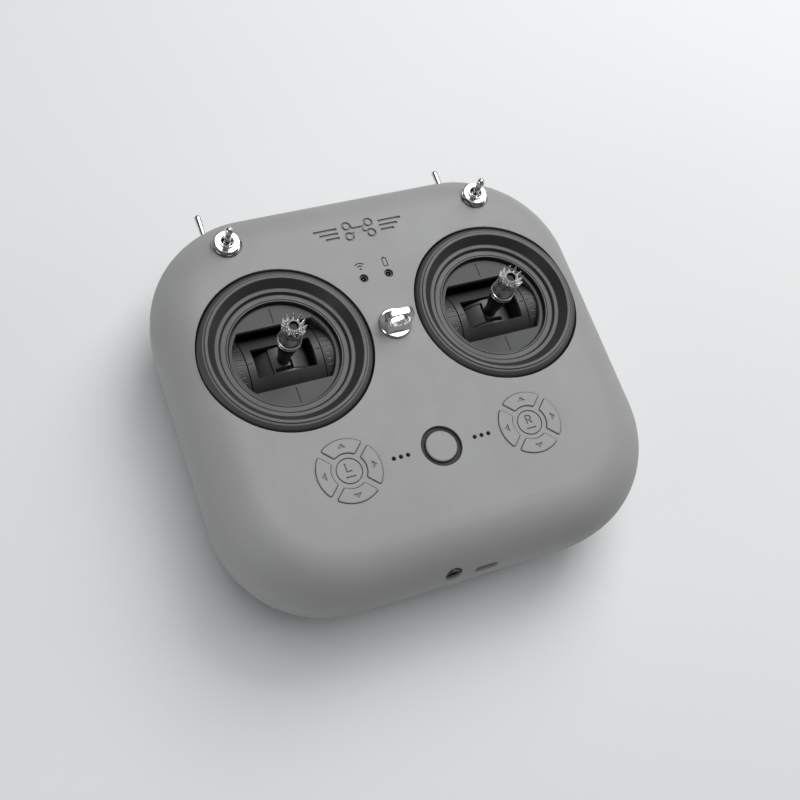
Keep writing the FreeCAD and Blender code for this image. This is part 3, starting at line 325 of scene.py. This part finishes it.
def turned_piece(name, outline, place, steps, closed=True):
    """Spin an outline of (radius, height, rounding) points, in mm, and move it to its place."""
    bm = bmesh.new()
    points = [bm.verts.new((radius * mm, 0, height * mm)) for radius, height, _ in outline]
    for first, second in zip(points, points[1:]):
        bm.edges.new((first, second))
    if closed:
        bm.edges.new((points[-1], points[0]))
    for point, (_, _, rounding) in zip(points, outline):
        if rounding:
            bmesh.ops.bevel(
                bm, geom=[point], offset=rounding * mm, offset_type="OFFSET", segments=4,
                profile=0.5, affect="VERTICES", material=-1,
            )
    bmesh.ops.spin(
        bm, geom=bm.verts[:] + bm.edges[:], cent=(0, 0, 0), axis=(0, 0, 1), angle=2 * pi,
        steps=steps, use_merge=True, use_duplicate=False,
    )
    bmesh.ops.remove_doubles(bm, verts=bm.verts, dist=0.0005 * mm)
    bmesh.ops.recalc_face_normals(bm, faces=bm.faces)
    bmesh.ops.transform(bm, matrix=place, verts=bm.verts)
    return finished_piece(name, bm)


def centre_of(name):
    """Middle of a CAD node's box."""
    low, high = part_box(name)
    return (low + high) / 2


def upright_at(name):
    """Place on the upright axis through the middle of a CAD node, heights kept."""
    middle = centre_of(name)
    return Matrix.Translation((middle.x, middle.y, 0))


def off_axis(face, axis):
    """Distance from the middle of a face to an upright axis."""
    return Vector((face.center.x - axis.x, face.center.y - axis.y)).length


# Three copies of one dark ABS: a lighter one for the crest and ridges as painted light, and
# darker ones for the slopes, grooves and outer flank as painted shade.
bezel_plastic = moulded_plastic(
    "bezel_ridges_painted_light", grey(0.105, -0.012), grey(0.118, -0.012),
    0.5, 0.2 * mm, 0.012 * mm, 0.08 * mm,
)
bezel_shaded_slope_plastic = moulded_plastic(
    "bezel_slopes_painted_shade", grey(0.030, -0.012), grey(0.036, -0.012),
    0.55, 0.25 * mm, 0.02 * mm, 0.08 * mm,
)
bezel_shaded_flank_plastic = moulded_plastic(
    "bezel_flank_painted_shade", grey(0.058, -0.012), grey(0.066, -0.012),
    0.55, 0.25 * mm, 0.02 * mm, 0.08 * mm,
)
bezel_outline = [
    (18.15, 39.95, 0), (18.15, 42.2, 0.12), (18.6, 42.2, 0.04), (18.6, 42.0, 0.04),
    (18.85, 42.0, 0.04), (18.85, 42.2, 0.04), (20.5, 42.2, 0.2), (21.0, 43.2, 0.2),
    (22.3, 43.2, 0.25), (24.6, 46.1, 0.2), (25.6, 46.1, 0.12), (25.75, 45.8, 0.1),
    (26.5, 45.7, 0.2), (27.5, 45.0, 0.3), (28.1, 43.4, 0.5), (28.1, 38.6, 0.1),
    (29.6, 38.6, 0.15), (29.6, 37.0, 0.15), (19.5, 37.0, 0.15), (19.5, 39.95, 0.1),
]
flank_start, slope_normal = 26.3 * mm, 0.93
lit_ridge_slot, shaded_slope_slot, shaded_flank_slot = 0, 1, 2
for side in ("left", "right"):
    ring = turned_piece(side + "_stick_ring", bezel_outline, upright_at(side + "_bezel"), 144)
    settle(ring, "case", "bezel_plastic", bezel_plastic, side + "_bezel")
    ring.data.materials.append(bezel_shaded_slope_plastic)
    ring.data.materials.append(bezel_shaded_flank_plastic)
    axis = centre_of(side + "_bezel")
    # Faces tilting away from the ceiling light, the grooves and the outer flank take the painted
    # shade; flat tops take the painted light.
    for face in ring.data.polygons:
        radius = off_axis(face, axis)
        in_groove = 18.55 * mm < radius < 18.9 * mm or 20.1 * mm < radius < 20.6 * mm
        if radius > flank_start:
            face.material_index = shaded_flank_slot
        elif face.normal.z < slope_normal or in_groove:
            face.material_index = shaded_slope_slot
        else:
            face.material_index = lit_ridge_slot


# ------------------------------------------------------------------ stick ends
# A tapered shaft of dark anodised aluminium stands in the hub. A grooved lock ring and a
# crown with a rim of sharp teeth for the thumb, both satin chromed, screw onto its stud.
# The lock ring's groove and end faces and the crown's bore carry dark metal, and the stud's
# tip black, as painted shade in recesses and between parts.

bright_chrome = worked_metal(
    "bright_chrome_plate", grey(0.66, 0.004), grey(0.78, 0.004), 0.13, (1, 1, 14), 0.003 * mm
)
dark_metal = worked_metal(
    "dark_anodised_metal", grey(0.07, 0.0), grey(0.11, 0.0), 0.34, (1, 1, 14), 0.004 * mm
)
satin_chrome = worked_metal(
    "satin_chrome_plate", grey(0.8, 0.004), grey(0.9, 0.004), 0.27, (1, 1, 14), 0.003 * mm
)
shaft_outline = [
    (0, 27.1, 0), (1.5, 27.1, 0.1), (1.5, 37.3, 0), (2.1, 37.35, 0), (2.1, 39.5, 0.6),
    (3.3, 48.0, 0.6), (3.3, 50.3, 0.1), (1.5, 50.3, 0), (1.5, 60.0, 0.1), (1.2, 60.3, 0.1),
    (0, 60.3, 0),
]
lock_ring_outline = [
    (1.5, 50.3, 0), (3.6, 50.3, 0.1), (3.9, 50.6, 0.1), (3.9, 50.9, 0.1), (3.45, 51.2, 0.05),
    (3.45, 51.4, 0.05), (3.9, 51.7, 0.1), (3.9, 52.0, 0.1), (3.6, 52.5, 0.1), (1.5, 52.5, 0),
]
# Black for the stud's tip down in the crown's hole: painted shade.
stud_tip_painted_shade = moulded_plastic(
    "stud_tip_painted_black_shade", grey(0.012), grey(0.02), 0.6, 0.2 * mm, 0.01 * mm, 0.05 * mm
)
stud_end_height, bead_radius, crown_bore_rim = 59.5 * mm, 3.74 * mm, 1.78 * mm
for side in ("left", "right"):
    place = upright_at(side + "_stick_shaft")
    shaft = turned_piece(side + "_shaft", shaft_outline, place, 64, closed=False)
    settle(shaft, side + "_stick", "dark_metal", dark_metal, side + "_stick_shaft")
    shaft.data.materials.append(stud_tip_painted_shade)
    for face in shaft.data.polygons:
        face.material_index = int(face.center.z > stud_end_height)
    axis = centre_of(side + "_stick_lock_ring")
    lock_ring = turned_piece(side + "_lock_ring", lock_ring_outline, place, 80)
    settle(lock_ring, side + "_stick", "bright_metal", satin_chrome, side + "_stick_lock_ring")
    lock_ring.data.materials.append(dark_metal)
    # The groove and the end faces of the lock ring get dark metal: painted shade.
    for face in lock_ring.data.polygons:
        face.material_index = int(off_axis(face, axis) < bead_radius)
    crown = eased_copy(side + "_crown", side + "_stick_crown", 0.07 * mm)
    settle(crown, side + "_stick", "bright_metal", satin_chrome, side + "_stick_crown")
    crown.data.materials.append(dark_metal)
    # The crown's bore gets dark metal: painted shade in the hole.
    for face in crown.data.polygons:
        face.material_index = int(off_axis(face, axis) < crown_bore_rim)


# ------------------------------------------------------------------ toggle switches
# Four miniature bat toggles: a switch body inside the case with a threaded bush through
# its wall, a washer and a hexagon nut outside, and a plated lever that flips.

nuts = eased_copy("switch_nuts", "toggle_nuts", 0.12 * mm, 3)
settle(nuts, "case", "bright_metal", bright_chrome, "toggle_nuts")
washers = eased_copy("switch_washers", "toggle_washers", 0.1 * mm)
settle(washers, "case", "bright_metal", bright_chrome, "toggle_washers")
for switch in ("left_face", "left_rear", "right_face", "right_rear"):
    body = eased_copy(switch + "_switch", switch + "_switch_body", 0.08 * mm)
    settle(body, "case", "bright_metal", bright_chrome, switch + "_switch_body")
    lever = eased_copy(switch + "_bat", switch + "_lever", 0.05 * mm)
    settle(lever, switch + "_toggle", "bright_metal", bright_chrome, switch + "_lever")


# ------------------------------------------------------------------ trim keys
# Eight keys of grey ABS in two round pads, each with an engraved and darkened arrow. They
# stand in their openings with a hair of clearance and press small switches on the board.
# The darkening below the key top is ink in the arrow and painted shade on the key sides in
# the gap.

key_plastic = moulded_plastic(
    "key_grey_abs", grey(0.335, 0.004), grey(0.35, 0.0), 0.52, 0.22 * mm, 0.015 * mm, 0.15 * mm
)
arrow_plastic = key_plastic.copy()
arrow_plastic.name = "key_grey_abs_arrow_ink_and_painted_gap_shade"
arrow_tree = arrow_plastic.node_tree
arrow_shader = arrow_tree.nodes["Principled BSDF"]
skin_colour = arrow_shader.inputs["Base Color"].links[0].from_socket
arrow_place = add_node(arrow_tree, "TexCoord").outputs["Object"]
height = add_node(arrow_tree, "SeparateXYZ", {"Vector": arrow_place}).outputs["Z"]
# Below the arrow floor the colour is darkened: ink in the engraved arrow, and painted shade on
# the key sides down in the gap round each key.
arrow_floor, darkening_top, darkest_ink_and_gap_shade = 45.17 * mm, 45.25 * mm, 0.72
ink_and_gap_shade = add_node(
    arrow_tree, "MapRange",
    {"Value": height, "From Min": arrow_floor, "From Max": darkening_top,
     "To Min": darkest_ink_and_gap_shade, "To Max": 1.0},
).outputs["Result"]
inked_and_gap_shaded = add_node(arrow_tree, "VectorMath", {0: skin_colour, "Scale": ink_and_gap_shade}, operation="SCALE")
arrow_tree.links.new(inked_and_gap_shaded.outputs["Vector"], arrow_shader.inputs["Base Color"])
for side in ("left", "right"):
    for way in ("up", "left", "down", "right"):
        dress(arrow_plastic, side + "_trim_" + way)


# ------------------------------------------------------------------ power button
# A round push button of the same grey ABS as the keys, inside a light guide of smoked
# polycarbonate. The guide is sunk a little below the face and reads as a dark ring.

light_guide = moulded_plastic(
    "smoked_polycarbonate", grey(0.022), grey(0.034), 0.5, 0.6 * mm, 0.004 * mm, 0.08 * mm
)
light_guide.node_tree.nodes["Principled BSDF"].inputs["Specular IOR Level"].default_value = 0.25
dress(key_plastic, "power_button")
dress(light_guide, "power_light_ring")


# ------------------------------------------------------------------ lamps
# Two small lamps of tinted epoxy in black nylon tubes, in the two holes between the neck
# strap hook and the rear edge. The tubes stand on the board and keep each lamp's light in.

lamp_lens = moulded_plastic(
    "tinted_epoxy", grey(0.02), grey(0.03), 0.12, 1 * mm, 0.002 * mm, 0.05 * mm
)
dress(black_plastic, "led_holders")
dress(lamp_lens, "status_leds")


# ------------------------------------------------------------------ sockets
# The charging port's plated steel shell and the trainer socket of black nylon, which has a
# round nose, sit on the board behind their openings in the front wall.

# The port's plated shell is given a dark grey rather than bright tin: painted shade for its place
# deep in the opening.
port_shell_painted_shade = worked_metal("port_tin_plate_painted_shade", grey(0.10), grey(0.14), 0.5, (8, 1, 1), 0.004 * mm)
usb = eased_copy("charging_port", "usb_port", 0.1 * mm)
settle(usb, "case", "steel", port_shell_painted_shade, "usb_port")
jack = eased_copy("trainer_socket", "audio_jack", 0.12 * mm)
settle(jack, "case", "black_plastic", black_plastic, "audio_jack")


# ------------------------------------------------------------------ neck strap hook
# Cast zinc loop, polished and chromed: a fin on a round foot, thinner toward its top, with
# a slot for the clip. A screw from inside holds it to the face between the sticks.

polished_zinc = worked_metal(
    "polished_chromed_zinc", grey(0.70, 0.004), grey(0.78, 0.004), 0.2, (1, 1, 1), 0.002 * mm
)
hook = eased_copy("strap_loop", "neck_strap_hook", 0.18 * mm, 3)
foot_top, fin_top, thinning = 45.9 * mm, 53.8 * mm, 0.33
for corner in hook.data.vertices:
    if corner.co.z > foot_top:
        corner.co.y *= 1 - thinning * (corner.co.z - foot_top) / (fin_top - foot_top)
settle(hook, "case", "bright_metal", polished_zinc, "neck_strap_hook")


# ------------------------------------------------------------------ case screws
# Six self-tapping pan-head screws of plated steel, driven up through the lower case into
# posts in the upper one.

dress(plated_steel, "case_screws")


# ------------------------------------------------------------------ studio
# Plain pale table under an even, soft ceiling light, a near softbox behind and to the right
# and a weak fill on each side. The camera looks down on the face from the front left.

def studio_floor():
    """Wide matt table with a very faint drift of tone."""
    finish, tree, shader, place = new_finish("pale_table")
    flow = spread(tree, noise(tree, place, 0.4), 0, 1)
    tone = between(tree, flow, (0.87, 0.88, 0.885, 1), (0.89, 0.895, 0.90, 1))
    tree.links.new(tone, shader.inputs["Base Color"])
    shader.inputs["Roughness"].default_value = 0.8
    shader.inputs["Specular IOR Level"].default_value = 0.2
    bm = bmesh.new()
    bmesh.ops.create_grid(bm, x_segments=1, y_segments=1, size=4.0)
    mesh = bpy.data.meshes.new("table")
    bm.to_mesh(mesh)
    bm.free()
    mesh.materials.append(finish)
    table = bpy.data.objects.new("table", mesh)
    bpy.context.scene.collection.objects.link(table)


def soft_light(name, azimuth, elevation, distance, size, power):
    """Rectangular light aimed at the origin."""
    lamp = bpy.data.lights.new(name, "AREA")
    lamp.shape = "RECTANGLE"
    lamp.size, lamp.size_y = size
    lamp.energy = power
    light = bpy.data.objects.new(name, lamp)
    bpy.context.scene.collection.objects.link(light)
    towards = Vector((
        cos(radians(elevation)) * cos(radians(azimuth)),
        cos(radians(elevation)) * sin(radians(azimuth)),
        sin(radians(elevation)),
    ))
    light.location = towards * distance
    light.rotation_euler = towards.to_track_quat("Z", "Y").to_euler()


studio_floor()
soft_light("rear_softbox", 46, 52, 0.75, (0.5, 0.5), 2.75)
ceiling = bpy.data.lights.new("ceiling", "SUN")
ceiling.energy = 1.02
ceiling.angle = radians(50)
ceiling_light = bpy.data.objects.new("ceiling", ceiling)
ceiling_light.rotation_euler = (radians(-9), radians(5), 0)
bpy.context.scene.collection.objects.link(ceiling_light)
soft_light("right_fill", 350, 22, 0.8, (0.4, 0.2), 0.7)
soft_light("left_fill", 190, 16, 0.8, (0.4, 0.2), 1.0)
bpy.context.scene.view_settings.view_transform = "Standard"

world = bpy.data.worlds.new("studio")
bpy.context.scene.world = world
world.use_nodes = True
world.node_tree.nodes["Background"].inputs["Color"].default_value = (0.92, 0.96, 1.0, 1)
world.node_tree.nodes["Background"].inputs["Strength"].default_value = 0.11

camera_data = bpy.data.cameras.new("camera")
camera_data.lens = 54.4
camera_data.sensor_width = 36
camera = bpy.data.objects.new("camera", camera_data)
bpy.context.scene.collection.objects.link(camera)
aim = Vector((-7.64, -25.77, 45.0)) * mm
azimuth, elevation, roll = radians(-136.88), radians(63.23), radians(29.43)
distance = 380.7 * mm
back = Vector((cos(elevation) * cos(azimuth), cos(elevation) * sin(azimuth), sin(elevation)))
camera.location = aim + back * distance
turn = back.to_track_quat("Z", "Y") @ Quaternion((0, 0, 1), roll)
camera.rotation_euler = turn.to_euler()
bpy.context.scene.camera = camera
